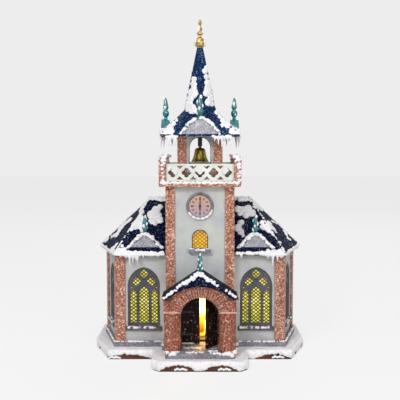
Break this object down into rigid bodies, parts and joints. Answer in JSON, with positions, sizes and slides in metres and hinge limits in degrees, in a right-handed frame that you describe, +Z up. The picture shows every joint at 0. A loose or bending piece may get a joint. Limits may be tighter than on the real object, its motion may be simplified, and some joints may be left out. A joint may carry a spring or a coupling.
{
  "type": "christmas village church",
  "caption": "Snowy wooden village church: six-sided nave, clock tower with balcony, belfry and bell, gabled spire, arched porch with opening doors, inner lamp.",
  "frame": {"origin": "middle of the base's underside, on the table", "axes": "+Z up, +Y from the porch towards the back wall, +X to the right seen from the front"},
  "size_m": [0.3086, 0.2596, 0.4805],
  "materials": {
    "board_paint": "satin brown paint over a sawn board",
    "snow": "thick matte snow paste with fine sparkle",
    "granite": "matte speckled stone-effect paint",
    "wall_paint": "matte light grey paint with faint grain",
    "brick_glitter": "copper-coloured glitter stone",
    "porch_brick": "painted brick courses with pink bands",
    "tracery_paint": "satin dark grey paint",
    "amber_pane": "translucent leaded diamonds, lit from behind",
    "navy_glitter": "navy glitter with dusted snow",
    "gable_glitter": "grey glitter panel with a teal edge and teal finial",
    "rail_paint": "satin greenish white paint",
    "bezel_metal": "satin silver grey",
    "dial_paint": "dusty pink dial with dark hour marks",
    "hand_paint": "dark brown satin",
    "gold_paint": "polished gold with light wear",
    "hanger_steel": "dark satin",
    "door_paint": "very dark brown satin paint",
    "black_plastic": "moulded matte black",
    "lamp_glass": "frosted warm white, lit"
  },
  "bodies": {
    "church": {"balcony_deck": "brick_glitter", "balcony_rail_front": "rail_paint", "balcony_rail_left": "rail_paint", "balcony_rail_rear": "rail_paint", "balcony_rail_right": "rail_paint", "base_board": "board_paint", "battery_box": "black_plastic", "belfry": "brick_glitter", "bell_hanger": "hanger_steel", "clock_case": "bezel_metal", "clock_dial": "dial_paint", "door_frame": "door_paint", "dormer_left": "gable_glitter", "dormer_right": "gable_glitter", "entrance_step": "granite", "ground_snow": "snow", "lamp_bulb": "lamp_glass", "lamp_holder": "black_plastic", "nave_front_wall_left": "wall_paint", "nave_front_wall_right": "wall_paint", "nave_pilaster_front_left": "brick_glitter", "nave_pilaster_front_right": "brick_glitter", "nave_pilaster_side_left": "brick_glitter", "nave_pilaster_side_right": "brick_glitter", "nave_plinth": "granite", "nave_rear_wall": "wall_paint", "nave_roof": "navy_glitter", "nave_side_wall_left": "wall_paint", "nave_side_wall_right": "wall_paint", "porch_front": "porch_brick", "porch_roof": "navy_glitter", "spire": "navy_glitter", "spire_gable_front": "gable_glitter", "spire_gable_left": "gable_glitter", "spire_gable_rear": "gable_glitter", "spire_gable_right": "gable_glitter", "top_finial": "gold_paint", "tower_pilaster_front_left": "brick_glitter", "tower_pilaster_front_right": "brick_glitter", "tower_pilaster_rear_left": "brick_glitter", "tower_pilaster_rear_right": "brick_glitter", "tower_shell": "wall_paint", "tower_window_pane": "amber_pane", "tower_window_sill": "granite", "window_pane_front_left": "amber_pane", "window_pane_front_right": "amber_pane", "window_pane_side_left": "amber_pane", "window_pane_side_right": "amber_pane", "window_tracery_front_left": "tracery_paint", "window_tracery_front_right": "tracery_paint", "window_tracery_side_left": "tracery_paint", "window_tracery_side_right": "tracery_paint"},
    "door_left": {"door_left": "door_paint"},
    "door_right": {"door_right": "door_paint"},
    "bell": {"bell": "gold_paint"},
    "bell_clapper": {"bell_clapper": "gold_paint"},
    "minute_hand": {"minute_hand": "hand_paint"},
    "hour_hand": {"hour_hand": "hand_paint"},
    "battery_cover": {"battery_cover": "black_plastic"},
    "power_switch": {"power_switch": "black_plastic"}
  },
  "joints": [
    {"name": "door_left_hinge", "type": "hinge", "parent": "church", "child": "door_left", "pos_m": [-0.0271, -0.07675, 0.06], "axis": [0, 0, -1], "range_deg": [0, 90]},
    {"name": "door_right_hinge", "type": "hinge", "parent": "church", "child": "door_right", "pos_m": [0.0271, -0.07675, 0.06], "axis": [0, 0, 1], "range_deg": [-55, 35]},
    {"name": "bell_pivot", "type": "hinge", "parent": "church", "child": "bell", "pos_m": [0, -0.02425, 0.3018], "axis": [0, 1, 0], "range_deg": [-30, 30]},
    {"name": "clapper_pivot", "type": "hinge", "parent": "bell", "child": "bell_clapper", "pos_m": [0, -0.02425, 0.2936], "axis": [0, 1, 0], "range_deg": [-20, 20]},
    {"name": "minute_hand_arbor", "type": "hinge", "parent": "church", "child": "minute_hand", "pos_m": [0, -0.07025, 0.217], "axis": [0, 1, 0], "continuous": true},
    {"name": "hour_hand_arbor", "type": "hinge", "parent": "church", "child": "hour_hand", "pos_m": [0, -0.07025, 0.217], "axis": [0, 1, 0], "continuous": true},
    {"name": "battery_cover_hinge", "type": "hinge", "parent": "church", "child": "battery_cover", "pos_m": [0, -0.05455, 0.0024], "axis": [-1, 0, 0], "range_deg": [0, 100]},
    {"name": "power_switch_slide", "type": "slide", "parent": "church", "child": "power_switch", "axis": [0, 1, 0], "range_m": [0, 0.004]}
  ],
  "couplings": [
    {"joint": "hour_hand_arbor", "follows": "minute_hand_arbor", "ratio": 0.083333}
  ]
}
